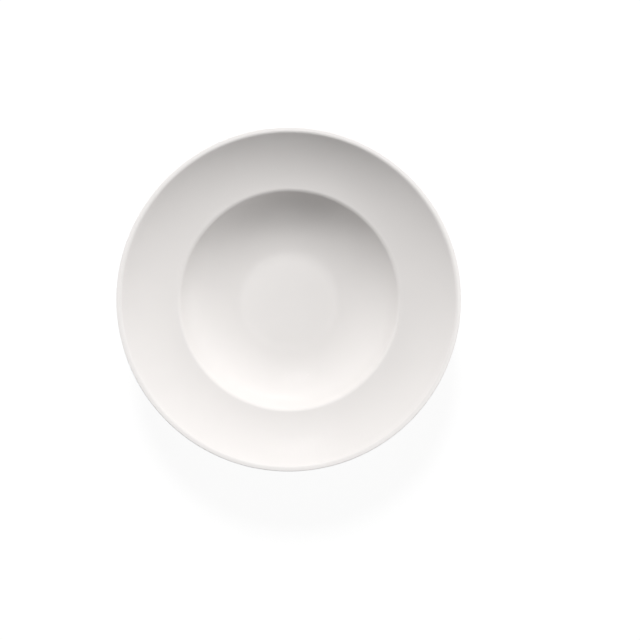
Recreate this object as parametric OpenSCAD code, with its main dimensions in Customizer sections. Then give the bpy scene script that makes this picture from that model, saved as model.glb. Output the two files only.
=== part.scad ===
// Wide-rimmed porcelain pasta bowl, standing on its foot ring with its axis on Z.
// The fired body is one turned solid. Glaze covers all of it except the standing edge
// of the foot, which is wiped clean, so the glaze is two separate layers: a coat over the
// inside, the lip and the outside, and a disc in the recess inside the foot ring.

/* [Overall] */
// Diameter across the lip, over the glaze
bowl_d = 300; // [285:1:320]
// Height from the standing edge to the top of the lip
bowl_h = 60; // [59:0.5:64]
// Thickness of the finished wall, glaze included
wall_t = 5.5; // [5:0.1:5.8]
// Thickness of the glaze
glaze_t = 0.35; // [0.25:0.05:0.45]

/* [Rim] */
// Width of the flat top of the lip, before its corners are rounded
lip_w = 3.8; // [3.4:0.1:4.4]
// Slope of the rim where it meets the lip, in degrees
lip_slope = 37.5; // [35.5:0.5:39.5]
// Radius of the dished curve across the rim
rim_curve_r = 104.5; // [100:0.5:110]
// Radius on the inner corner of the lip
lip_inner_round = 4.5; // [3.5:0.1:5]
// Radius on the outer corner of the lip
lip_outer_round = 0.6; // [0.5:0.1:1]
// Radius on the lower corner of the lip, where its side meets the underside of the rim
lip_lower_round = 1.4; // [1:0.1:1.8]

/* [Well] */
// Diameter of the well at its edge
well_d = 194.8; // [188:0.2:200]
// Height of the inside floor above the table
floor_h = 9.8; // [9.6:0.1:10.4]
// Radius of the curve from the floor up the wall of the well
well_curve_r = 78.5; // [76.5:0.5:81]
// Radius on the edge of the well
crease_round = 6; // [4.5:0.1:7]
// Radius of the hollow outside, where the wall turns out into the rim
junction_round = 30; // [22:0.5:32]

/* [Foot] */
// Outer diameter of the foot ring at the table, before its corner is rounded
foot_d = 107; // [104:0.5:110]
// Width of the foot ring at the table, before its corners are rounded
foot_w = 5; // [4.5:0.1:6]
// Slope of the outside of the foot ring, in degrees
foot_outer_slope = 52; // [48:1:60]
// Slope of the inside of the foot ring, in degrees
foot_inner_slope = 66; // [60:1:70]
// Radius of the hollow between the wall and the foot ring
foot_outer_fillet = 1.2; // [1:0.1:1.5]
// Radius of the hollow between the foot ring and the recess
foot_inner_fillet = 2.5; // [1.6:0.1:2.5]
// Radius on the two corners of the standing edge
foot_round = 1.2; // [1:0.1:1.4]
// Height of the bare band that is wiped clean of glaze
bare_h = 1.3; // [1.1:0.1:1.5]

/* [Smoothness] */
// Degrees turned by each facet of a rounded stretch of the outline
arc_step = 3; // [2:0.5:6]

/* [Hidden] */
$fn = 180;

BISCUIT = [0.91, 0.88, 0.83];
GLAZE = [0.95, 0.94, 0.92];
RECESS_GLAZE = [0.92, 0.92, 0.90];

// All sizes below are of the finished surface, in the half plane [radius, height].
lip_r = bowl_d / 2;
well_r = well_d / 2;

// The rim is an arc that would meet the top of the lip in a sharp corner.
rim_centre = [lip_r - lip_w, bowl_h] + rim_curve_r * [-sin(lip_slope), cos(lip_slope)];
rim_under_r = rim_curve_r + wall_t;

// The well is an arc that rises from the floor and crosses the rim's arc at the well's edge.
crease_h = rim_centre.y - sqrt(pow(rim_curve_r, 2) - pow(well_r - rim_centre.x, 2));
well_centre_h = floor_h + well_curve_r;
floor_r = well_r - sqrt(pow(well_curve_r, 2) - pow(well_centre_h - crease_h, 2));
well_centre = [floor_r, well_centre_h];
well_under_r = well_curve_r + wall_t;

// The bare standing edge touches the table, so the glaze surface, were it there, would lie below.
stand_h = -glaze_t;

// Lower crossing of two circles, as a point right of the line from the first centre to the second.
function crossing(c1, r1, c2, r2) =
    let (span = norm(c2 - c1))
    let (along = (pow(span, 2) + pow(r1, 2) - pow(r2, 2)) / (2 * span))
    let (unit = (c2 - c1) / span)
    c1 + along * unit + sqrt(pow(r1, 2) - pow(along, 2)) * [unit.y, -unit.x];

// Lower point of a circle at a distance from the axis
function point_at_radius(c, r, x) = [x, c.y - sqrt(pow(r, 2) - pow(x - c.x, 2))];

// Outer point of a circle at a height
function point_at_height(c, r, h) = [c.x + sqrt(pow(r, 2) - pow(h - c.y, 2)), h];

// Unit vector in a direction given in degrees
function unit_vector(a) = [cos(a), sin(a)];

// Lower crossing of a circle and the line through a point, square to a normal
function line_crossing(c, r, start, normal_angle) =
    let (n = unit_vector(normal_angle))
    let (down = sign(n.x) * [n.y, -n.x])
    let (off = (start - c) * n)
    c + off * n + sqrt(pow(r, 2) - pow(off, 2)) * down;

// Direction from one point to another, in degrees
function heading(from, to) = atan2(to.y - from.y, to.x - from.x);

// Centres of the rounded corners and hollows, each tangent to its two neighbours
crease_centre =
    crossing(well_centre, well_curve_r + crease_round, rim_centre, rim_curve_r + crease_round);
lip_inner_centre =
    point_at_height(rim_centre, rim_curve_r + lip_inner_round, bowl_h - lip_inner_round);
lip_outer_centre = [lip_r - lip_outer_round, bowl_h - lip_outer_round];
lip_lower_centre =
    point_at_radius(rim_centre, rim_under_r - lip_lower_round, lip_r - lip_lower_round);
junction_centre = crossing(
    well_centre, well_under_r + junction_round, rim_centre, rim_under_r + junction_round
);

// Outward normals of the two straight sides of the foot ring
foot_outer_normal = foot_outer_slope - 90;
foot_inner_normal = -90 - foot_inner_slope;

// Distance from a sharp corner of the standing edge in to where its round begins
function corner_inset(slope) = foot_round * tan(slope / 2);

foot_outer_corner = [foot_d / 2 - corner_inset(foot_outer_slope), stand_h + foot_round];
foot_inner_corner =
    [foot_d / 2 - foot_w + corner_inset(foot_inner_slope), stand_h + foot_round];

foot_outer_hollow = line_crossing(
    well_centre,
    well_under_r + foot_outer_fillet,
    foot_outer_corner + (foot_round + foot_outer_fillet) * unit_vector(foot_outer_normal),
    foot_outer_normal
);
foot_inner_hollow = line_crossing(
    well_centre,
    well_under_r + foot_inner_fillet,
    foot_inner_corner + (foot_round + foot_inner_fillet) * unit_vector(foot_inner_normal),
    foot_inner_normal
);

// Directions of the outward normal where one arc hands over to the next
well_to_crease = heading(crease_centre, well_centre);
crease_to_rim = heading(crease_centre, rim_centre);
rim_to_lip = heading(lip_inner_centre, rim_centre);
lip_to_under = heading(rim_centre, lip_lower_centre);
under_to_junction = heading(rim_centre, junction_centre);
junction_to_wall = heading(well_centre, junction_centre);
wall_to_foot = heading(well_centre, foot_outer_hollow);
foot_to_recess = heading(well_centre, foot_inner_hollow);

// Each arc is [centre, radius, first normal, last normal]. The radius is negative in a hollow,
// where the centre is in the air. The straight stretches are the lines between the arcs.
well_arc = [well_centre, -well_curve_r, 90, well_to_crease];
crease_arc = [crease_centre, crease_round, well_to_crease, crease_to_rim];
rim_arc = [rim_centre, -rim_curve_r, crease_to_rim, rim_to_lip];
lip_inner_arc = [lip_inner_centre, lip_inner_round, rim_to_lip, 90];
lip_outer_arc = [lip_outer_centre, lip_outer_round, 90, 0];
lip_lower_arc = [lip_lower_centre, lip_lower_round, 0, lip_to_under];
under_arc = [rim_centre, rim_under_r, lip_to_under, under_to_junction];
junction_arc = [junction_centre, -junction_round, under_to_junction, junction_to_wall];
wall_arc = [well_centre, well_under_r, junction_to_wall, wall_to_foot];
foot_outer_hollow_arc = [foot_outer_hollow, -foot_outer_fillet, wall_to_foot, foot_outer_normal];
foot_outer_arc = [foot_outer_corner, foot_round, foot_outer_normal, -90];
foot_inner_arc = [foot_inner_corner, foot_round, -90, foot_inner_normal];
foot_inner_hollow_arc =
    [foot_inner_hollow, -foot_inner_fillet, foot_inner_normal, foot_to_recess];
recess_arc = [well_centre, well_under_r, foot_to_recess, -90];

COAT_ARCS = [
    well_arc, crease_arc, rim_arc, lip_inner_arc, lip_outer_arc, lip_lower_arc, under_arc,
    junction_arc, wall_arc, foot_outer_hollow_arc
];
STANDING_ARCS = [foot_outer_arc, foot_inner_arc];
RECESS_ARCS = [foot_inner_hollow_arc, recess_arc];

// Point of an arc at a normal, with the surface moved into the ware by an inset
function arc_point(arc, normal_angle, inset) =
    arc[0] + (arc[1] - inset) * unit_vector(normal_angle);

// Points along one arc, first and last included
function arc_points(arc, inset) =
    let (turn = arc[3] - arc[2])
    let (count = max(2, ceil(abs(turn) / arc_step)))
    [for (k = [0:count]) arc_point(arc, arc[2] + turn * k / count, inset)];

// Points along a chain of arcs
function chain(arcs, inset) = [for (arc = arcs) each arc_points(arc, inset)];

// Points on the axis, at the middle of the floor and of the recess
function floor_middle(inset) = [0, floor_h - inset];
function recess_middle(inset) = [0, floor_h - wall_t + inset];

// Point at a height on the straight line between two points
function at_height(a, b, h) = a + (b - a) * (h - a.y) / (b.y - a.y);

// Ends of the glaze, on the outer and the inner side of the foot ring
function coat_end(inset) = at_height(
    arc_point(foot_outer_hollow_arc, foot_outer_normal, inset),
    arc_point(foot_outer_arc, foot_outer_normal, inset),
    bare_h
);
function recess_end(inset) = at_height(
    arc_point(foot_inner_arc, foot_inner_normal, inset),
    arc_point(foot_inner_hollow_arc, foot_inner_normal, inset),
    bare_h
);

// Surface under each layer of glaze, from the axis to the glaze's end and back
function coat_line(inset) = [floor_middle(inset), each chain(COAT_ARCS, inset), coat_end(inset)];
function recess_line(inset) =
    [recess_end(inset), each chain(RECESS_ARCS, inset), recess_middle(inset)];

function reversed(points) = [for (k = [len(points) - 1:-1:0]) points[k]];

module turned(points) {
    rotate_extrude() polygon(points);
}

module porcelain_body() {
    color(BISCUIT)
        turned([
            each coat_line(glaze_t),
            each chain(STANDING_ARCS, glaze_t),
            each recess_line(glaze_t)
        ]);
}

module glaze_coat() {
    color(GLAZE) turned([each coat_line(0), each reversed(coat_line(glaze_t))]);
}

module foot_recess_glaze() {
    color(RECESS_GLAZE) turned([each recess_line(0), each reversed(recess_line(glaze_t))]);
}

porcelain_body();
glaze_coat();
foot_recess_glaze();
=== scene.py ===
"""A wide-rimmed porcelain pasta bowl, dressed in its glaze and standing on a white studio floor.

The bowl is one outline turned about the Z axis. The outline is a chain of arcs in the half plane
of radius and height, worked out from the bowl's main sizes, and each piece of the bowl is a closed
loop along it: the glaze coat, the glaze in the recess of the foot, and the clay body between them.
"""

import logging
import math
from abc import ABC, abstractmethod
from dataclasses import dataclass, field
from enum import Enum
from functools import cached_property

import bpy
from mathutils import Matrix, Vector


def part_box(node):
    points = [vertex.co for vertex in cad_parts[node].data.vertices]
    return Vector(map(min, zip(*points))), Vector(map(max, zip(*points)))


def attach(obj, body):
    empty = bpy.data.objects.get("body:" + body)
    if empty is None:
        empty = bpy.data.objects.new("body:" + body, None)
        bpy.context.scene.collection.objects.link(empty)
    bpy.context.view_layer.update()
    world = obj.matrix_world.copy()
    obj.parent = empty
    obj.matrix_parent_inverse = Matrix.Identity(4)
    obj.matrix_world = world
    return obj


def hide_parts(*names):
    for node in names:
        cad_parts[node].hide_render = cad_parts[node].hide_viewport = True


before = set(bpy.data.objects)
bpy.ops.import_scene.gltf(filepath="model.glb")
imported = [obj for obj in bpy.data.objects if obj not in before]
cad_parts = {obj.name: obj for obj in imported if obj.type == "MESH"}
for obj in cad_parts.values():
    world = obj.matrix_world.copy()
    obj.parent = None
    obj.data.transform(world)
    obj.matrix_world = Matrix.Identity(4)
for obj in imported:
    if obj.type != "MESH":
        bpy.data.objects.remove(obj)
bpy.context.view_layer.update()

Colour = tuple[float, float, float, float]
Socket = bpy.types.NodeSocket
Sockets = bpy.types.bpy_prop_collection
SocketTypes = dict[str, str]
Inputs = dict[str | int, object]
Tree = bpy.types.NodeTree

LOG = logging.getLogger("pasta_bowl")
MM = 0.001
DEPTH_ATTRIBUTE = "glaze_depth"
SLIDE_ATTRIBUTE = "edge_slide"
WHITE: Colour = (1.0, 1.0, 1.0, 1.0)

# Points of an outline that lie closer than this, in metres, are one point
DOUBLED = 1e-6

# Directions in the half plane of radius and height, in degrees
UP = 90.0
OUT = 0.0
DOWN = -90.0

# Middle of the range that a noise moves in
NOISE_MIDDLE = 0.5

# Share of a speck's radius that has its full tone, and share of the cells that hold no speck
SPECK_CORE = 0.5
CLEAR_CELLS = 0.8


def unit(angle: float) -> Vector:
    """Gives the unit vector in a direction in degrees."""
    return Vector((math.cos(math.radians(angle)), math.sin(math.radians(angle))))


def heading(start: Vector, end: Vector) -> float:
    """Gives the direction from one point to another, in degrees."""
    return math.degrees(math.atan2(end.y - start.y, end.x - start.x))


def upward(normal: float) -> Vector:
    """Gives the way up a straight side that has an outward normal in degrees."""
    across = unit(normal)
    return math.copysign(1, across.x) * Vector((-across.y, across.x))


def lower_crossing(first: Vector, first_r: float, second: Vector, second_r: float) -> Vector:
    """Finds the lower crossing of two circles.

    Args:
        first: Centre of the left circle.
        first_r: Its radius.
        second: Centre of the right circle.
        second_r: Its radius.

    Returns:
        The crossing on the right of the line from the first centre to the second.
    """
    span = second - first
    along = (span.length_squared + first_r**2 - second_r**2) / (2 * span.length)
    across = math.sqrt(first_r**2 - along**2)
    way = span.normalized()
    return first + along * way + across * Vector((way.y, -way.x))


def line_crossing(centre: Vector, radius: float, start: Vector, normal: float) -> Vector:
    """Finds the lower crossing of a circle and a straight line.

    Args:
        centre: Centre of the circle.
        radius: Its radius.
        start: A point on the line.
        normal: Direction square to the line, in degrees.

    Returns:
        The crossing that lies further down the line.
    """
    across = unit(normal)
    offset = (start - centre).dot(across)
    return centre + offset * across - math.sqrt(radius**2 - offset**2) * upward(normal)


def new_object(name: str, data: bpy.types.ID) -> bpy.types.Object:
    """Makes an object of a mesh, a lamp or a camera, in the scene.

    Args:
        name: The object's name.
        data: What it shows.

    Returns:
        The object.
    """
    item = bpy.data.objects.new(name, data)
    bpy.context.scene.collection.objects.link(item)
    return item


class Layer(Enum):
    """The surface of the ware that a line follows."""

    FINISHED = "over the glaze"
    CLAY = "under the glaze"


class GlazeDepth(float, Enum):
    """How deep the glaze lies, from 0 where it is drawn thin to 1 where it pools."""

    # The lip's low depths give it the lighter thin tone, which there is partly a painted highlight
    LIP_CORNER = 0.0
    WIPED = 0.1
    LIP_TOP = 0.2
    CREASE = 0.4
    PLAIN = 0.5
    WELL = 0.55
    JUNCTION = 0.7
    ROLLED = 0.9
    POOLED = 1.0


@dataclass(frozen=True)
class Fineness:
    """How closely points follow each other along an outline, by length and by turn in degrees."""

    longest: float
    widest_turn: float
    fewest: int = 2

    def steps(self, length: float, turn: float) -> int:
        """Gives the number of steps for a stretch of a length that turns by an angle in degrees."""
        by_turn = math.ceil(abs(turn) / self.widest_turn)
        return max(self.fewest, math.ceil(length / self.longest), by_turn)


@dataclass(frozen=True)
class OutlinePoint:
    """A point of an outline, as radius and height.

    Depth is that of the glaze. Slide is the way that the point moves where the end of the glaze
    wanders up and down.
    """

    place: Vector
    depth: float
    slide: Vector = field(default_factory=lambda: Vector((0, 0)))

    def towards(self, end: "OutlinePoint", share: float) -> "OutlinePoint":
        """Gives the point at a share of the way to another."""
        return OutlinePoint(
            self.place.lerp(end.place, share),
            self.depth + share * (end.depth - self.depth),
            self.slide.lerp(end.slide, share),
        )


@dataclass(frozen=True)
class Arc:
    """A round stretch of the outline, from one outward normal to another, in degrees.

    The radius is negative in a hollow, where the centre is in the air.
    """

    centre: Vector
    radius: float
    first: float
    last: float
    depth: float

    def place(self, normal: float, inset: float) -> Vector:
        """Gives the place with an outward normal, moved into the ware by an inset."""
        return self.centre + (self.radius - inset) * unit(normal)

    def points(self, inset: float, fineness: Fineness) -> list[OutlinePoint]:
        """Lays points along the arc.

        Args:
            inset: How far the line lies inside the finished surface.
            fineness: How close the points are.

        Returns:
            The points from the first normal to the last.
        """
        turn = self.last - self.first
        length = abs(math.radians(turn) * (self.radius - inset))
        count = fineness.steps(length, turn)
        normals = (self.first + turn * k / count for k in range(count + 1))
        return [OutlinePoint(self.place(normal, inset), self.depth) for normal in normals]


def filled_in(points: list[OutlinePoint], longest: float) -> list[OutlinePoint]:
    """Adds points along straight stretches and drops doubled ones.

    Args:
        points: An outline.
        longest: The longest step that is left.

    Returns:
        The same outline in shorter steps.
    """
    filled = points[:1]
    for end in points[1:]:
        start = filled[-1]
        length = (end.place - start.place).length
        if length < DOUBLED:
            continue
        count = math.ceil(length / longest)
        filled += [start.towards(end, k / count) for k in range(1, count)]
        filled.append(end)
    return filled


@dataclass(frozen=True)
class FootSide:
    """A straight side of the foot ring, between a round at the table and a hollow at the base."""

    corner: Vector
    normal: float
    fillet: float


@dataclass(frozen=True)
class BowlForm:
    """The bowl's outline. Sizes are of the finished surface in metres, and slopes in degrees."""

    lip_r: float
    height: float
    wall: float = 5.5 * MM
    glaze: float = 0.35 * MM
    lip_w: float = 3.8 * MM
    lip_slope: float = 37.5
    rim_curve: float = 104.5 * MM
    lip_inner_round: float = 4.5 * MM
    lip_outer_round: float = 0.6 * MM
    lip_lower_round: float = 1.4 * MM
    well_r: float = 97.4 * MM
    floor_h: float = 9.8 * MM
    well_curve: float = 78.5 * MM
    crease_round: float = 6.0 * MM
    junction_round: float = 30 * MM
    foot_r: float = 53.5 * MM
    foot_w: float = 5 * MM
    foot_outer_slope: float = 52
    foot_inner_slope: float = 66
    foot_outer_fillet: float = 1.2 * MM
    foot_inner_fillet: float = 2.5 * MM
    foot_round: float = 1.2 * MM
    bare_h: float = 1.3 * MM
    skin: Fineness = Fineness(1.8 * MM, 4.5)
    backing: Fineness = Fineness(3.6 * MM, 9)

    @cached_property
    def rim_centre(self) -> Vector:
        """Centre of the dished curve across the rim."""
        corner = Vector((self.lip_r - self.lip_w, self.height))
        return corner + self.rim_curve * unit(self.lip_slope + UP)

    @cached_property
    def rim_under(self) -> float:
        """Radius of the rim's underside."""
        return self.rim_curve + self.wall

    @cached_property
    def well_centre(self) -> Vector:
        """Centre of the curve from the floor up the wall of the well."""
        from_axis = self.well_r - self.rim_centre.x
        crease_h = self.rim_centre.y - math.sqrt(self.rim_curve**2 - from_axis**2)
        centre_h = self.floor_h + self.well_curve
        floor_r = self.well_r - math.sqrt(self.well_curve**2 - (centre_h - crease_h) ** 2)
        return Vector((floor_r, centre_h))

    @cached_property
    def well_under(self) -> float:
        """Radius of the outside of the well."""
        return self.well_curve + self.wall

    def foot_corner(self, edge_r: float, slope: float, inwards: int) -> Vector:
        """Finds the centre of a rounded corner of the standing edge.

        Args:
            edge_r: Radius of the sharp corner.
            slope: Slope of the side that rises from it.
            inwards: 1 where the ring lies outside the corner, and -1 where it lies inside.

        Returns:
            The centre of the round.
        """
        inset = self.foot_round * math.tan(math.radians(slope / 2))
        return Vector((edge_r + inwards * inset, self.foot_round - self.glaze))

    @cached_property
    def outer_side(self) -> FootSide:
        """The outer side of the foot."""
        corner = self.foot_corner(self.foot_r, self.foot_outer_slope, -1)
        return FootSide(corner, DOWN + self.foot_outer_slope, self.foot_outer_fillet)

    @cached_property
    def inner_side(self) -> FootSide:
        """The inner side of the foot."""
        corner = self.foot_corner(self.foot_r - self.foot_w, self.foot_inner_slope, 1)
        return FootSide(corner, DOWN - self.foot_inner_slope, self.foot_inner_fillet)

    def foot_hollow(self, side: FootSide) -> Vector:
        """Gives the centre of the hollow between a side of the foot and the base."""
        start = side.corner + (self.foot_round + side.fillet) * unit(side.normal)
        return line_crossing(self.well_centre, self.well_under + side.fillet, start, side.normal)

    @cached_property
    def coat_arcs(self) -> list[Arc]:
        """The arcs that the glaze coat follows, from the floor over the lip to the foot."""
        well, rim = self.well_centre, self.rim_centre
        crease = lower_crossing(
            well, self.well_curve + self.crease_round, rim, self.rim_curve + self.crease_round
        )
        lip_h = self.height - self.lip_inner_round
        lip_reach = self.rim_curve + self.lip_inner_round
        lip_inner = Vector((rim.x + math.sqrt(lip_reach**2 - (lip_h - rim.y) ** 2), lip_h))
        lip_outer = Vector((self.lip_r, self.height)) - self.lip_outer_round * Vector((1, 1))
        lower_x = self.lip_r - self.lip_lower_round
        lower_reach = self.rim_under - self.lip_lower_round
        lip_lower = Vector((lower_x, rim.y - math.sqrt(lower_reach**2 - (lower_x - rim.x) ** 2)))
        junction = lower_crossing(
            well, self.well_under + self.junction_round, rim, self.rim_under + self.junction_round
        )
        foot = self.outer_side
        hollow = self.foot_hollow(foot)
        to_crease, to_rim = heading(crease, well), heading(crease, rim)
        to_lip, to_under = heading(lip_inner, rim), heading(rim, lip_lower)
        to_junction, to_wall = heading(rim, junction), heading(well, junction)
        to_foot = heading(well, hollow)
        return [
            Arc(well, -self.well_curve, UP, to_crease, GlazeDepth.WELL),
            Arc(crease, self.crease_round, to_crease, to_rim, GlazeDepth.CREASE),
            Arc(rim, -self.rim_curve, to_rim, to_lip, GlazeDepth.PLAIN),
            Arc(lip_inner, self.lip_inner_round, to_lip, UP, GlazeDepth.LIP_TOP),
            Arc(lip_outer, self.lip_outer_round, UP, OUT, GlazeDepth.LIP_CORNER),
            Arc(lip_lower, self.lip_lower_round, OUT, to_under, GlazeDepth.PLAIN),
            Arc(rim, self.rim_under, to_under, to_junction, GlazeDepth.PLAIN),
            Arc(junction, -self.junction_round, to_junction, to_wall, GlazeDepth.JUNCTION),
            Arc(well, self.well_under, to_wall, to_foot, GlazeDepth.PLAIN),
            Arc(hollow, -foot.fillet, to_foot, foot.normal, GlazeDepth.POOLED),
        ]

    @cached_property
    def standing_arcs(self) -> list[Arc]:
        """The arcs of the bare standing edge, from its outer side to its inner side."""
        outer, inner = self.outer_side, self.inner_side
        return [
            Arc(outer.corner, self.foot_round, outer.normal, DOWN, GlazeDepth.WIPED),
            Arc(inner.corner, self.foot_round, DOWN, inner.normal, GlazeDepth.WIPED),
        ]

    @cached_property
    def recess_arcs(self) -> list[Arc]:
        """The arcs that the glaze in the recess follows, from the foot to the middle."""
        foot = self.inner_side
        hollow = self.foot_hollow(foot)
        to_recess = heading(self.well_centre, hollow)
        return [
            Arc(hollow, -foot.fillet, foot.normal, to_recess, GlazeDepth.POOLED),
            Arc(self.well_centre, self.well_under, to_recess, DOWN, GlazeDepth.PLAIN),
        ]

    def inset(self, layer: Layer) -> float:
        """Gives how far a layer lies inside the finished surface."""
        return self.glaze if layer is Layer.CLAY else 0.0

    def chain(self, arcs: list[Arc], layer: Layer) -> list[OutlinePoint]:
        """Lays points along a row of arcs.

        Args:
            arcs: The arcs in order.
            layer: The surface that the points lie on.

        Returns:
            The points, fine on the finished surface and coarser under it.
        """
        fineness = self.skin if layer is Layer.FINISHED else self.backing
        return [point for arc in arcs for point in arc.points(self.inset(layer), fineness)]

    def glaze_end(self, side: FootSide) -> Vector:
        """Finds where the glaze ends on a side of the foot.

        Args:
            side: The side.

        Returns:
            The point of the clay at the height of the bare band.
        """
        foot = side.corner + (self.foot_round - self.glaze) * unit(side.normal)
        way = upward(side.normal)
        return foot + way * (self.bare_h - foot.y) / way.y

    def floor_middle(self, layer: Layer) -> OutlinePoint:
        """Gives the middle of the well's floor."""
        return OutlinePoint(Vector((0, self.floor_h - self.inset(layer))), GlazeDepth.PLAIN)

    def recess_middle(self, layer: Layer) -> OutlinePoint:
        """Gives the middle of the recess."""
        height = self.floor_h - self.wall + self.inset(layer)
        return OutlinePoint(Vector((0, height)), GlazeDepth.PLAIN)


@dataclass(frozen=True)
class GlazeEdge:
    """The rolled edge of the glaze beside the bare foot, where it was wiped before firing."""

    reach: float = 2.6 * MM
    roll: float = 0.09 * MM
    roll_from_end: float = 0.7 * MM
    roll_spread: float = 0.45 * MM
    steps: int = 18

    def thickness(self, from_end: float, glaze: float) -> float:
        """Gives the glaze's thickness at a distance from its end.

        Args:
            from_end: Distance up the side of the foot from the end of the glaze.
            glaze: Thickness away from the edge.

        Returns:
            The thickness, rounded off at the end and a little fuller just above it.
        """
        drop = max(0.0, 1 - from_end / glaze)
        fuller = self.roll * math.exp(-(((from_end - self.roll_from_end) / self.roll_spread) ** 2))
        return glaze * math.sqrt(1 - drop**2) + fuller * min(1.0, from_end / glaze)

    def points(self, form: BowlForm, side: FootSide) -> list[OutlinePoint]:
        """Lays points down the edge to where it meets the clay, closer and closer.

        Args:
            form: The bowl's outline.
            side: The side of the foot that the edge is on.

        Returns:
            The points from the plain glaze down to the end.
        """
        end = form.glaze_end(side)
        way = upward(side.normal)
        points = []
        for k in range(self.steps + 1):
            share = k / self.steps
            from_end = self.reach * (1 - share) ** 2
            thickness = self.thickness(from_end, form.glaze)
            place = end + from_end * way + thickness * unit(side.normal)
            depth = GlazeDepth.PLAIN + share * (GlazeDepth.ROLLED - GlazeDepth.PLAIN)
            points.append(OutlinePoint(place, depth, share * way))
        return points

    def seat(self, form: BowlForm, side: FootSide) -> OutlinePoint:
        """Gives the point of the clay far enough up the foot's side to stay put."""
        place = form.glaze_end(side) + self.reach * upward(side.normal)
        return OutlinePoint(place, GlazeDepth.PLAIN)


@dataclass
class NodeBench:
    """Adds nodes to a tree and joins them up."""

    tree: Tree

    @classmethod
    def cleared(cls, owner: bpy.types.Material | bpy.types.World) -> "NodeBench":
        """Empties the tree of a material or a world for its own nodes.

        Args:
            owner: The material or the world.

        Returns:
            The tree's bench.
        """
        owner.use_nodes = True
        owner.node_tree.nodes.clear()
        return cls(owner.node_tree)

    def add(self, kind: str, inputs: Inputs | None = None, **settings: object) -> bpy.types.Node:
        """Adds one node.

        Args:
            kind: The node's type.
            inputs: A value, or a socket to join, for each input by name or number.
            **settings: The node's own settings.

        Returns:
            The node.
        """
        node = self.tree.nodes.new(kind)
        for name, value in settings.items():
            setattr(node, name, value)
        for key, value in (inputs or {}).items():
            if isinstance(value, Socket):
                self.tree.links.new(value, node.inputs[key])
            else:
                node.inputs[key].default_value = value
        return node

    def result(self, kind: str, inputs: Inputs | None = None, **settings: object) -> Socket:
        """Adds one node in the same way and gives its first output."""
        return self.add(kind, inputs, **settings).outputs[0]

    def math(self, operation: str, *values: object) -> Socket:
        """Adds one step of arithmetic and gives its result."""
        return self.result("ShaderNodeMath", dict(enumerate(values)), operation=operation)

    def ranged(
        self, value: Socket, low: object, high: object, first: object, last: object
    ) -> Socket:
        """Eases a value from one range to another.

        Args:
            value: The value.
            low: Start of its range.
            high: End of its range.
            first: Result at the start.
            last: Result at the end.

        Returns:
            The result, held at the ends.
        """
        inputs = {
            "Value": value,
            "From Min": low,
            "From Max": high,
            "To Min": first,
            "To Max": last,
        }
        return self.result("ShaderNodeMapRange", inputs, interpolation_type="SMOOTHSTEP")

    def mixed(self, share: Socket, first: object, second: object, blend: str = "MIX") -> Socket:
        """Mixes two colours.

        Args:
            share: Share of the second colour.
            first: The first colour.
            second: The second colour.
            blend: How they mix.

        Returns:
            The mixed colour.
        """
        # The node has two inputs and an output for each type of value. Colours are the third type.
        inputs = {0: share, 6: first, 7: second}
        node = self.add("ShaderNodeMix", inputs, data_type="RGBA", blend_type=blend)
        return node.outputs[2]

    def noise(self, where: Socket, scale: object, detail: float, roughness: float = 0.5) -> Socket:
        """Adds a soft noise.

        Args:
            where: Coordinates.
            scale: Waves per unit of the coordinates.
            detail: Number of finer layers.
            roughness: Strength of the finer layers.

        Returns:
            The noise, about 0.5 in the middle.
        """
        inputs = {"Vector": where, "Scale": scale, "Detail": detail, "Roughness": roughness}
        return self.add("ShaderNodeTexNoise", inputs).outputs["Fac"]

    def swing(self, where: Socket, scale: object, detail: float, roughness: float = 0.5) -> Socket:
        """Adds a soft noise in the same way, but about zero."""
        return self.math("SUBTRACT", self.noise(where, scale, detail, roughness), NOISE_MIDDLE)


def new_group(kind: str, name: str, inputs: SocketTypes, outputs: SocketTypes) -> Tree:
    """Makes an empty node group.

    Args:
        kind: The tree's type.
        name: The group's name.
        inputs: The type of each input socket, by name.
        outputs: The type of each output socket, by name.

    Returns:
        The group.
    """
    group = bpy.data.node_groups.new(name, kind)
    for way, sockets in (("INPUT", inputs), ("OUTPUT", outputs)):
        for label, socket_type in sockets.items():
            group.interface.new_socket(label, in_out=way, socket_type=socket_type)
    return group


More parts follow.
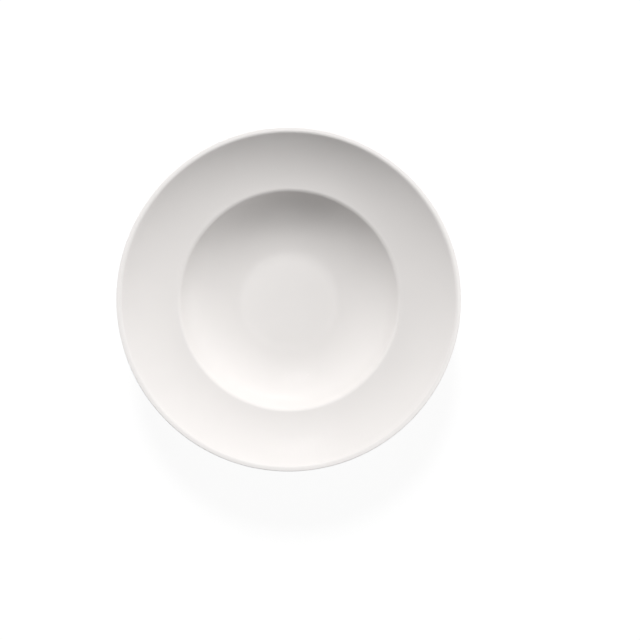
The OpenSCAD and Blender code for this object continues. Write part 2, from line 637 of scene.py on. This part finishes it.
@dataclass
class TurningWheel:
    """Turns an outline about the axis into a closed skin, with a tree of geometry nodes."""

    steps_round: int = 256
    wander_waves: float = 2.2
    wander_detail: float = 3.0
    seed: int = 11
    soften_rounds: int = 6
    crease_angle: float = 50.0
    tree: Tree = field(init=False)

    def __post_init__(self) -> None:
        """Builds the tree."""
        self.tree = self._new_tree()

    def _new_tree(self) -> Tree:
        """Builds the tree, from the outline to a skin that has its material.

        Returns:
            The tree, with its inputs named.
        """
        inputs = {
            "Outline": "NodeSocketGeometry",
            "Steps Round": "NodeSocketInt",
            "Edge Wander": "NodeSocketFloat",
            "Wander Waves": "NodeSocketFloat",
            "Seed": "NodeSocketInt",
            "Material": "NodeSocketMaterial",
        }
        tree = new_group("GeometryNodeTree", "turned_form", inputs, {"Skin": "NodeSocketGeometry"})
        bench = NodeBench(tree)
        given = bench.add("NodeGroupInput").outputs
        skin = self._turned(bench, given)
        skin = bench.result("GeometryNodeMergeByDistance", {"Geometry": skin, "Distance": DOUBLED})
        skin = self._softened(bench, skin)
        skin = self._smoothed(bench, skin)
        skin = bench.result("GeometryNodeRealizeInstances", {"Geometry": skin})
        dressed = {"Geometry": skin, "Material": given["Material"]}
        bench.add("NodeGroupOutput", {"Skin": bench.result("GeometryNodeSetMaterial", dressed)})
        return tree

    def _turned(self, bench: NodeBench, given: Sockets) -> Socket:
        """Turns the outline: a grid whose rows follow it and whose columns go round the axis.

        The columns go clockwise, so that the faces of a clockwise outline look outwards.

        Args:
            bench: The tree's bench.
            given: The tree's inputs.

        Returns:
            The skin, with an open seam and the glaze's depth on its points.
        """
        outline = given["Outline"]
        size = bench.add("GeometryNodeAttributeDomainSize", {"Geometry": outline})
        rows = size.outputs["Point Count"]
        columns = bench.math("ADD", given["Steps Round"], 1)
        grid = bench.result("GeometryNodeMeshGrid", {"Vertices X": columns, "Vertices Y": rows})
        index = bench.result("GeometryNodeInputIndex")
        row = bench.math("MODULO", index, rows)
        column = bench.math("FLOOR", bench.math("DIVIDE", index, rows))
        share = bench.math("DIVIDE", column, given["Steps Round"])
        angle = bench.math("MULTIPLY", share, -math.tau)
        on_outline = (
            (bench.result("GeometryNodeInputPosition"), "FLOAT_VECTOR"),
            (self._stored(bench, SLIDE_ATTRIBUTE, "FLOAT_VECTOR"), "FLOAT_VECTOR"),
            (self._stored(bench, DEPTH_ATTRIBUTE, "FLOAT"), "FLOAT"),
        )
        place, slide, depth = (
            bench.result(
                "GeometryNodeSampleIndex",
                {"Geometry": outline, "Value": value, "Index": row},
                data_type=kind,
                domain="POINT",
            )
            for value, kind in on_outline
        )
        wander = {0: slide, "Scale": self._wander(bench, given, angle)}
        moved = bench.result("ShaderNodeVectorMath", wander, operation="SCALE")
        flat = bench.result("ShaderNodeVectorMath", {0: place, 1: moved}, operation="ADD")
        swung = {"Vector": flat, "Angle": angle}
        turned = bench.result("ShaderNodeVectorRotate", swung, rotation_type="Z_AXIS")
        skin = bench.result("GeometryNodeSetPosition", {"Geometry": grid, "Position": turned})
        return self._with_depth(bench, skin, depth)

    def _wander(self, bench: NodeBench, given: Sockets, angle: Socket) -> Socket:
        """Adds the wander of the glaze's edge round the foot.

        Args:
            bench: The tree's bench.
            given: The tree's inputs.
            angle: The angle round the axis.

        Returns:
            How far the edge lies up or down at that angle.
        """
        aside, ahead = bench.math("COSINE", angle), bench.math("SINE", angle)
        ring = bench.result("ShaderNodeCombineXYZ", {"X": aside, "Y": ahead, "Z": given["Seed"]})
        swing = bench.swing(ring, given["Wander Waves"], self.wander_detail)
        return bench.math("MULTIPLY", swing, given["Edge Wander"])

    def _stored(self, bench: NodeBench, name: str, kind: str) -> Socket:
        """Reads an attribute of the points."""
        return bench.result("GeometryNodeInputNamedAttribute", {"Name": name}, data_type=kind)

    def _with_depth(self, bench: NodeBench, skin: Socket, depth: Socket) -> Socket:
        """Stores the depth of the glaze on the skin."""
        inputs = {"Geometry": skin, "Name": DEPTH_ATTRIBUTE, "Value": depth}
        return bench.result("GeometryNodeStoreNamedAttribute", inputs, data_type="FLOAT")

    def _softened(self, bench: NodeBench, skin: Socket) -> Socket:
        """Softens the steps of the glaze's depth from one stretch of the outline to the next.

        Args:
            bench: The tree's bench.
            skin: The skin.

        Returns:
            The skin with the softened depth.
        """
        depth = self._stored(bench, DEPTH_ATTRIBUTE, "FLOAT")
        inputs = {"Value": depth, "Iterations": self.soften_rounds}
        soft = bench.result("GeometryNodeBlurAttribute", inputs, data_type="FLOAT")
        return self._with_depth(bench, skin, soft)

    def _smoothed(self, bench: NodeBench, skin: Socket) -> Socket:
        """Shades the skin smooth, with a crease where it turns sharply.

        Args:
            bench: The tree's bench.
            skin: The skin.

        Returns:
            The shaded skin.
        """
        bend = bench.add("GeometryNodeInputMeshEdgeAngle").outputs["Unsigned Angle"]
        gentle = bench.math("LESS_THAN", bend, math.radians(self.crease_angle))
        inputs = {"Geometry": skin, "Shade Smooth": gentle}
        return bench.result("GeometryNodeSetShadeSmooth", inputs, domain="EDGE")

    @staticmethod
    def _flat_mesh(name: str, outline: list[OutlinePoint]) -> bpy.types.Mesh:
        """Makes a mesh of an outline, with the values that the tree reads on its points.

        Args:
            name: The mesh's name.
            outline: The outline.

        Returns:
            The mesh.
        """
        mesh = bpy.data.meshes.new(name)
        edges = [(k, k + 1) for k in range(len(outline) - 1)]
        mesh.from_pydata([(p.place.x, 0, p.place.y) for p in outline], edges, [])
        depth = mesh.attributes.new(DEPTH_ATTRIBUTE, "FLOAT", "POINT")
        depth.data.foreach_set("value", [p.depth for p in outline])
        slide = mesh.attributes.new(SLIDE_ATTRIBUTE, "FLOAT_VECTOR", "POINT")
        slide.data.foreach_set("vector", [x for p in outline for x in (p.slide.x, 0, p.slide.y)])
        return mesh

    def turn(
        self, name: str, outline: list[OutlinePoint], wander: float, material: bpy.types.Material
    ) -> bpy.types.Object:
        """Turns an outline into a piece.

        Args:
            name: The piece's name.
            outline: The outline, clockwise from the axis back to the axis.
            wander: How far the glaze's edge moves up and down in all.
            material: The piece's finish.

        Returns:
            The piece as a plain mesh.
        """
        mesh = self._flat_mesh(name + "_outline", outline)
        piece = new_object(name, mesh)
        modifier = piece.modifiers.new("turned_form", "NODES")
        modifier.node_group = self.tree
        values = {
            "Steps Round": self.steps_round,
            "Edge Wander": wander,
            "Wander Waves": self.wander_waves,
            "Seed": self.seed,
            "Material": material,
        }
        for item in self.tree.interface.items_tree:
            if item.name in values:
                modifier[item.identifier] = values[item.name]
        graph = bpy.context.evaluated_depsgraph_get()
        skin = bpy.data.meshes.new_from_object(piece.evaluated_get(graph), depsgraph=graph)
        piece.modifiers.remove(modifier)
        piece.data = skin
        skin.name = name
        # The first slot is the outline's own, which is empty
        skin.materials.pop(index=0)
        bpy.data.meshes.remove(mesh)
        return piece


@dataclass(frozen=True)
class FiringEffects:
    """The effects that more than one finish shares, as groups of shader nodes."""

    tone: Tree
    skin: Tree

    @classmethod
    def make(cls) -> "FiringEffects":
        """Builds the groups."""
        return cls(cls._tone(), cls._skin())

    @staticmethod
    def _tone() -> Tree:
        """Builds the tone of fired ware, which drifts, follows the glaze's depth and has specks.

        Where the glaze is thin the tone is lighter; on the lip this is partly a painted highlight.

        Returns:
            The group.
        """
        inputs = {
            "Tone": "NodeSocketColor",
            "Thin Tone": "NodeSocketColor",
            "Deep Tone": "NodeSocketColor",
            "Drift Waves": "NodeSocketFloat",
            "Drift": "NodeSocketFloat",
            "Speck Tone": "NodeSocketColor",
            "Speck Gap": "NodeSocketFloat",
            "Speck Radius": "NodeSocketFloat",
        }
        group = new_group("ShaderNodeTree", "fired_tone", inputs, {"Colour": "NodeSocketColor"})
        bench = NodeBench(group)
        given = bench.add("NodeGroupInput").outputs
        where = bench.add("ShaderNodeTexCoord").outputs["Object"]
        depth = bench.add("ShaderNodeAttribute", attribute_name=DEPTH_ATTRIBUTE).outputs["Fac"]
        # Share of the lighter thin tone: thin glaze, and on the lip partly a painted highlight
        thin = bench.ranged(depth, 0.0, GlazeDepth.PLAIN, 1.0, 0.0)
        deep = bench.ranged(depth, GlazeDepth.PLAIN, GlazeDepth.POOLED, 0.0, 1.0)
        colour = bench.mixed(thin, given["Tone"], given["Thin Tone"])
        colour = bench.mixed(deep, colour, given["Deep Tone"])
        drift = bench.swing(where, given["Drift Waves"], detail=3.0)
        level = bench.math("ADD", bench.math("MULTIPLY", drift, given["Drift"]), 1.0)
        grey = bench.result("ShaderNodeCombineColor", {0: level, 1: level, 2: level})
        colour = bench.mixed(1.0, colour, grey, "MULTIPLY")
        scale = bench.math("DIVIDE", 1.0, given["Speck Gap"])
        cells = bench.add("ShaderNodeTexVoronoi", {"Vector": where, "Scale": scale}).outputs
        chance = bench.add("ShaderNodeSeparateColor", {0: cells["Color"]}).outputs
        widest = bench.math("MULTIPLY", given["Speck Radius"], scale)
        radius = bench.math("MULTIPLY", widest, chance[1])
        core = bench.math("MULTIPLY", radius, SPECK_CORE)
        inside = bench.ranged(cells["Distance"], core, radius, 1.0, 0.0)
        held = bench.math("GREATER_THAN", chance[0], CLEAR_CELLS)
        speck = bench.math("MULTIPLY", inside, held)
        colour = bench.mixed(speck, colour, given["Speck Tone"])
        bench.add("NodeGroupOutput", {"Colour": colour})
        return group

    @staticmethod
    def _skin() -> Tree:
        """Builds the skin of a fired surface: a fine grain, a slow ripple and rings from the wheel.

        Returns:
            The group.
        """
        inputs = {
            "Grain Waves": "NodeSocketFloat",
            "Grain Share": "NodeSocketFloat",
            "Ripple Waves": "NodeSocketFloat",
            "Ring Waves": "NodeSocketFloat",
            "Ring Share": "NodeSocketFloat",
            "Gloss": "NodeSocketFloat",
            "Gloss Change": "NodeSocketFloat",
        }
        outputs = {"Height": "NodeSocketFloat", "Roughness": "NodeSocketFloat"}
        group = new_group("ShaderNodeTree", "fired_skin", inputs, outputs)
        bench = NodeBench(group)
        given = bench.add("NodeGroupInput").outputs
        where = bench.add("ShaderNodeTexCoord").outputs["Object"]
        across = bench.add("ShaderNodeSeparateXYZ", {0: where}).outputs
        flat = bench.result("ShaderNodeCombineXYZ", {"X": across["X"], "Y": across["Y"]})
        radius = bench.add("ShaderNodeVectorMath", {0: flat}, operation="LENGTH").outputs["Value"]
        rings = bench.add(
            "ShaderNodeTexNoise",
            {"W": radius, "Scale": given["Ring Waves"], "Detail": 2.0},
            noise_dimensions="1D",
        ).outputs["Fac"]
        grain = bench.noise(where, given["Grain Waves"], detail=2.0)
        ripple = bench.noise(where, given["Ripple Waves"], detail=1.0)
        height = bench.math("ADD", ripple, bench.math("MULTIPLY", grain, given["Grain Share"]))
        height = bench.math("ADD", height, bench.math("MULTIPLY", rings, given["Ring Share"]))
        cloud = bench.swing(where, given["Ripple Waves"], detail=4.0, roughness=0.6)
        change = bench.math("MULTIPLY", cloud, given["Gloss Change"])
        dull = bench.math("ADD", given["Gloss"], change)
        bench.add("NodeGroupOutput", {"Height": height, "Roughness": dull})
        return group


@dataclass(frozen=True)
class FiredFinish:
    """The finish of a fired surface, glazed or bare. Waves are per metre."""

    name: str
    tone: Colour
    # Lighter tone where the glaze is thin; on the lip it is partly a painted highlight
    thin_tone: Colour
    deep_tone: Colour
    gloss: float
    gloss_change: float
    drift: float
    speck_radius: float
    grain_waves: float
    grain_share: float
    ring_waves: float
    ring_share: float
    relief: float
    drift_waves: float = 22.0
    ripple_waves: float = 28.0
    speck_tone: Colour = (0.42, 0.36, 0.29, 1.0)
    speck_gap: float = 24 * MM
    refraction: float = 1.5

    def _values(self, group: Tree) -> Inputs:
        """Gives the value for each input of a group, from the field that has the input's name."""
        names = [item.name for item in group.interface.items_tree if item.in_out == "INPUT"]
        return {name: getattr(self, name.lower().replace(" ", "_")) for name in names}

    def material(self, effects: FiringEffects) -> bpy.types.Material:
        """Makes the material.

        Args:
            effects: The shared groups.

        Returns:
            The material.
        """
        material = bpy.data.materials.new(self.name)
        bench = NodeBench.cleared(material)
        tone, skin = (
            bench.add("ShaderNodeGroup", self._values(group), node_tree=group).outputs
            for group in (effects.tone, effects.skin)
        )
        relief = {"Distance": self.relief, "Height": skin["Height"]}
        surface = bench.result(
            "ShaderNodeBsdfPrincipled",
            {
                "Base Color": tone["Colour"],
                "Roughness": skin["Roughness"],
                "IOR": self.refraction,
                "Normal": bench.result("ShaderNodeBump", relief),
            },
        )
        bench.add("ShaderNodeOutputMaterial", {"Surface": surface})
        return material


COAT_GLAZE = FiredFinish(
    name="warm_white_glaze",
    tone=(0.812, 0.785, 0.768, 1.0),
    # Lighter than the tone, partly for thin glaze and partly as a painted highlight along the lip
    thin_tone=(0.912, 0.885, 0.87, 1.0),
    deep_tone=(0.762, 0.745, 0.725, 1.0),
    gloss=0.13,
    gloss_change=0.06,
    drift=0.04,
    speck_radius=0.16 * MM,
    grain_waves=480.0,
    grain_share=0.16,
    ring_waves=260.0,
    ring_share=0.05,
    relief=0.04 * MM,
)
RECESS_GLAZE = FiredFinish(
    name="thin_white_glaze",
    tone=(0.83, 0.805, 0.775, 1.0),
    thin_tone=(0.85, 0.815, 0.775, 1.0),
    deep_tone=(0.78, 0.765, 0.73, 1.0),
    gloss=0.19,
    gloss_change=0.1,
    drift=0.05,
    speck_radius=0.22 * MM,
    grain_waves=420.0,
    grain_share=0.2,
    ring_waves=190.0,
    ring_share=0.5,
    relief=0.05 * MM,
)
BARE_BISCUIT = FiredFinish(
    name="bare_biscuit",
    tone=(0.74, 0.69, 0.615, 1.0),
    thin_tone=(0.77, 0.735, 0.675, 1.0),
    deep_tone=(0.66, 0.575, 0.47, 1.0),
    gloss=0.78,
    gloss_change=0.18,
    drift=0.12,
    speck_radius=0.3 * MM,
    grain_waves=2600.0,
    grain_share=0.6,
    ring_waves=2400.0,
    ring_share=0.8,
    relief=0.03 * MM,
    speck_gap=9 * MM,
)


@dataclass
class TurnedPiece(ABC):
    """One piece of the bowl, with the node that it stands for and the finish that it takes."""

    form: BowlForm
    wheel: TurningWheel
    effects: FiringEffects
    name: str
    node: str
    slot: str
    finish: FiredFinish
    edge: GlazeEdge = GlazeEdge()
    wander: float = 0.0
    longest_line: float = 4 * MM

    @abstractmethod
    def outline(self) -> list[OutlinePoint]:
        """Gives the closed outline, clockwise from the axis back to the axis."""

    def make(self) -> None:
        """Builds the piece, dresses it and sets it on the frame."""
        outline = filled_in(self.outline(), self.longest_line)
        material = self.finish.material(self.effects)
        piece = self.wheel.turn(self.name, outline, self.wander, material)
        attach(piece, "root")
        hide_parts(self.node)
        LOG.info("%s: %d faces, in place of %s", self.name, len(piece.data.polygons), self.node)


@dataclass
class GlazeCoat(TurnedPiece):
    """The glaze over the inside, the lip and the outside."""

    name: str = "bowl_glaze"
    node: str = "glaze_coat"
    slot: str = "white_glaze"
    finish: FiredFinish = COAT_GLAZE
    wander: float = 1.0 * MM

    def outline(self) -> list[OutlinePoint]:
        """Goes over the glaze from the floor to the foot, and back under it.

        Returns:
            The closed outline.
        """
        form = self.form
        side = (form, form.outer_side)
        over = [form.floor_middle(Layer.FINISHED), *form.chain(form.coat_arcs, Layer.FINISHED)]
        under = [form.floor_middle(Layer.CLAY), *form.chain(form.coat_arcs, Layer.CLAY)]
        return [*over, *self.edge.points(*side), self.edge.seat(*side), *reversed(under)]


@dataclass
class RecessGlaze(TurnedPiece):
    """The glaze in the recess inside the foot ring."""

    name: str = "recess_glaze_disc"
    node: str = "foot_recess_glaze"
    slot: str = "recess_glaze"
    finish: FiredFinish = RECESS_GLAZE
    wander: float = 0.9 * MM
    edge: GlazeEdge = GlazeEdge(reach=1.8 * MM)

    def outline(self) -> list[OutlinePoint]:
        """Goes under the glaze from the middle to the foot, and back over it.

        Returns:
            The closed outline.
        """
        form = self.form
        side = (form, form.inner_side)
        under = [*form.chain(form.recess_arcs, Layer.CLAY), form.recess_middle(Layer.CLAY)]
        over = [*form.chain(form.recess_arcs, Layer.FINISHED), form.recess_middle(Layer.FINISHED)]
        return [*reversed(under), self.edge.seat(*side), *reversed(self.edge.points(*side)), *over]


@dataclass
class PorcelainBody(TurnedPiece):
    """The clay body, which shows only along its bare standing edge."""

    name: str = "biscuit_body"
    node: str = "porcelain_body"
    slot: str = "biscuit"
    finish: FiredFinish = BARE_BISCUIT
    bare_fineness: Fineness = Fineness(0.4 * MM, 9.0)

    def outline(self) -> list[OutlinePoint]:
        """Goes along the clay from the floor over the lip, round the foot and to the recess.

        Returns:
            The closed outline.
        """
        form = self.form
        # The clay has its deep tone beside the end of the glaze
        outer, inner = (
            OutlinePoint(form.glaze_end(side), GlazeDepth.POOLED)
            for side in (form.outer_side, form.inner_side)
        )
        bare = [
            point
            for arc in form.standing_arcs
            for point in arc.points(form.glaze, self.bare_fineness)
        ]
        return [
            form.floor_middle(Layer.CLAY),
            *form.chain(form.coat_arcs, Layer.CLAY),
            *filled_in([outer, *bare, inner], self.bare_fineness.longest),
            *form.chain(form.recess_arcs, Layer.CLAY),
            form.recess_middle(Layer.CLAY),
        ]


class Shine(Enum):
    """What a lamp's light does on the bowl."""

    SHADE = "lights the surface"
    SHEEN = "mirrors in the gloss"


@dataclass(frozen=True)
class SoftBox:
    """A large soft lamp that shines at the bowl. Its bearing is in degrees from +Y towards +X."""

    name: str
    bearing: float
    elevation: float
    power: float
    size: tuple[float, float] = (1.6, 1.6)
    distance: float = 5.0
    shine: Shine = Shine.SHADE

    def place(self, target: Vector) -> None:
        """Sets the lamp up.

        Args:
            target: What it shines at.
        """
        lamp = bpy.data.lights.new(self.name, "AREA")
        lamp.shape = "ELLIPSE"
        lamp.size, lamp.size_y = self.size
        lamp.energy = self.power
        rise = math.radians(self.elevation)
        turn = math.radians(self.bearing)
        level = math.cos(rise)
        out = Vector((math.sin(turn) * level, math.cos(turn) * level, math.sin(rise)))
        holder = new_object(self.name, lamp)
        holder.location = target + self.distance * out
        holder.rotation_euler = out.to_track_quat("Z", "Y").to_euler()
        holder.visible_camera = False
        holder.visible_diffuse = self.shine is Shine.SHADE
        holder.visible_glossy = self.shine is Shine.SHEEN


@dataclass(frozen=True)
class PhotoCamera:
    """The camera above the bowl, placed so that the bowl's lip falls where the picture has it."""

    picture_px: float = 640.0
    lip_middle_px: tuple[float, float] = (288.7, 298.2)
    lip_radius_px: float = 172.45
    distance: float = 1.05
    tilt: float = 2.6
    sensor_mm: float = 36.0

    def place(self, form: BowlForm) -> None:
        """Sets the camera up and makes it the scene's own.

        Args:
            form: The bowl's outline.
        """
        px_per_m = self.lip_radius_px / form.lip_r
        lens = bpy.data.cameras.new("photo_camera")
        lens.sensor_width = self.sensor_mm
        lens.lens = px_per_m * self.distance * self.sensor_mm / self.picture_px
        lean = math.radians(self.tilt)
        right = Vector((1, 0, 0))
        up = Vector((0, math.cos(lean), math.sin(lean)))
        back = right.cross(up)
        aside = (self.lip_middle_px[0] - self.picture_px / 2) / px_per_m
        above = (self.picture_px / 2 - self.lip_middle_px[1]) / px_per_m
        turn = Matrix((right, up, back)).transposed().to_4x4()
        spot = Vector((0, 0, form.height)) + self.distance * back - aside * right - above * up
        camera = new_object("photo_camera", lens)
        camera.matrix_world = Matrix.Translation(spot) @ turn
        bpy.context.scene.camera = camera


@dataclass
class Studio:
    """The white floor, the white room, the lamps and the camera."""

    form: BowlForm
    floor_r: float = 8.0
    floor_steps: int = 128
    floor_tone: Colour = (0.64, 0.64, 0.64, 1.0)
    floor_white: float = 1.035
    lamp_level: float = 0.9
    foot_glow: float = 0.5
    foot_reach: tuple[float, float] = (0.06, 0.16)
    open_glow: float = 0.93
    open_reach: tuple[float, float] = (0.3, 0.9)
    room_light: float = 0.04
    lamps: tuple[SoftBox, ...] = (
        SoftBox("key_softbox", bearing=-5.0, elevation=42.0, power=265.0),
        SoftBox("right_softbox", bearing=86.0, elevation=15.0, power=91.0),
        SoftBox("left_softbox", bearing=-75.0, elevation=11.0, power=33.0),
        SoftBox("fill_softbox", bearing=180.0, elevation=32.0, power=26.0),
        SoftBox("under_softbox", bearing=30.0, elevation=-50.0, power=120.0),
        SoftBox("top_window", bearing=0.0, elevation=87.0, power=8.0, size=(1.8, 1.8), shine=Shine.SHEEN),
        SoftBox("back_window", bearing=8.0, elevation=8.0, power=8.0, size=(3.6, 0.9), shine=Shine.SHEEN),
    )
    camera: PhotoCamera = PhotoCamera()

    def make(self) -> None:
        """Builds the studio."""
        scene = bpy.context.scene
        scene.view_settings.view_transform = "Standard"
        self._floor()
        self._room(scene)
        for lamp in self.lamps:
            lamp.place(Vector((0, 0, self.form.height / 2)))
        self.camera.place(self.form)
        LOG.info("studio: floor, room, camera and %s", ", ".join(lamp.name for lamp in self.lamps))

    @staticmethod
    def _seen(bench: NodeBench) -> Socket:
        """Adds a test for rays that show the background: straight, mirrored or through glass.

        Args:
            bench: The tree's bench.

        Returns:
            1 on such rays, and 0 on others.
        """
        path = bench.add("ShaderNodeLightPath").outputs
        seen = bench.math("MAXIMUM", path["Is Camera Ray"], path["Is Glossy Ray"])
        return bench.math("MAXIMUM", seen, path["Is Transmission Ray"])

    def _floor(self) -> None:
        """Lays the floor, which is open under the foot to let light from below into the recess."""
        mesh = bpy.data.meshes.new("studio_floor")
        count = self.floor_steps
        turns = [math.tau * k / count for k in range(count)]
        radii = (self.form.outer_side.corner.x, self.floor_r)
        places = [(r * math.cos(turn), r * math.sin(turn), 0) for r in radii for turn in turns]
        after = [(k + 1) % count for k in range(count)]
        faces = [(k, k + count, after[k] + count, after[k]) for k in range(count)]
        mesh.from_pydata(places, [], faces)
        mesh.materials.append(self._floor_material())
        floor = new_object("studio_floor", mesh)

    def _floor_material(self) -> bpy.types.Material:
        """Makes the floor's finish: it looks white, keeps a faint shadow and is clear from below.

        It glows, less round the foot than in the open, and the lamps make up the rest of its white.

        Returns:
            The material.
        """
        material = bpy.data.materials.new("white_floor")
        bench = NodeBench.cleared(material)
        where = bench.add("ShaderNodeTexCoord").outputs["Object"]
        away = bench.add("ShaderNodeVectorMath", {0: where}, operation="LENGTH").outputs["Value"]
        strength = bench.math(
            "ADD",
            bench.ranged(away, *self.foot_reach, self.foot_glow, self.open_glow),
            bench.ranged(away, *self.open_reach, 0.0, 1.0 - self.open_glow),
        )
        rest = bench.math("SUBTRACT", self.floor_white, strength)
        tone = bench.math("DIVIDE", rest, self.lamp_level)
        shade = bench.result("ShaderNodeBsdfDiffuse", {"Color": tone})
        glow = bench.result("ShaderNodeEmission", {"Strength": strength})
        white = bench.result("ShaderNodeAddShader", {0: glow, 1: shade})
        plain = bench.result("ShaderNodeBsdfDiffuse", {"Color": self.floor_tone})
        above = bench.result("ShaderNodeMixShader", {0: self._seen(bench), 1: plain, 2: white})
        clear = bench.result("ShaderNodeBsdfTransparent")
        behind = bench.add("ShaderNodeNewGeometry").outputs["Backfacing"]
        surface = bench.result("ShaderNodeMixShader", {0: behind, 1: above, 2: clear})
        bench.add("ShaderNodeOutputMaterial", {"Surface": surface})
        return material

    def _room(self, scene: bpy.types.Scene) -> None:
        """Makes the room white to look at and a soft light on the bowl.

        Args:
            scene: The scene.
        """
        world = bpy.data.worlds.new("white_room")
        bench = NodeBench.cleared(world)
        light, white = (
            bench.result("ShaderNodeBackground", {"Color": WHITE, "Strength": strength})
            for strength in (self.room_light, 1.0)
        )
        room = bench.result("ShaderNodeMixShader", {0: self._seen(bench), 1: light, 2: white})
        bench.add("ShaderNodeOutputWorld", {"Surface": room})
        scene.world = world


def main() -> None:
    """Builds the bowl and its studio."""
    logging.basicConfig(level=logging.INFO, format="%(message)s")
    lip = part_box("glaze_coat")[1]
    form = BowlForm(lip_r=lip.x, height=lip.z)
    wheel = TurningWheel()
    effects = FiringEffects.make()
    for kind in (PorcelainBody, GlazeCoat, RecessGlaze):
        kind(form, wheel, effects).make()
    Studio(form).make()


if __name__ == "__main__":
    main()
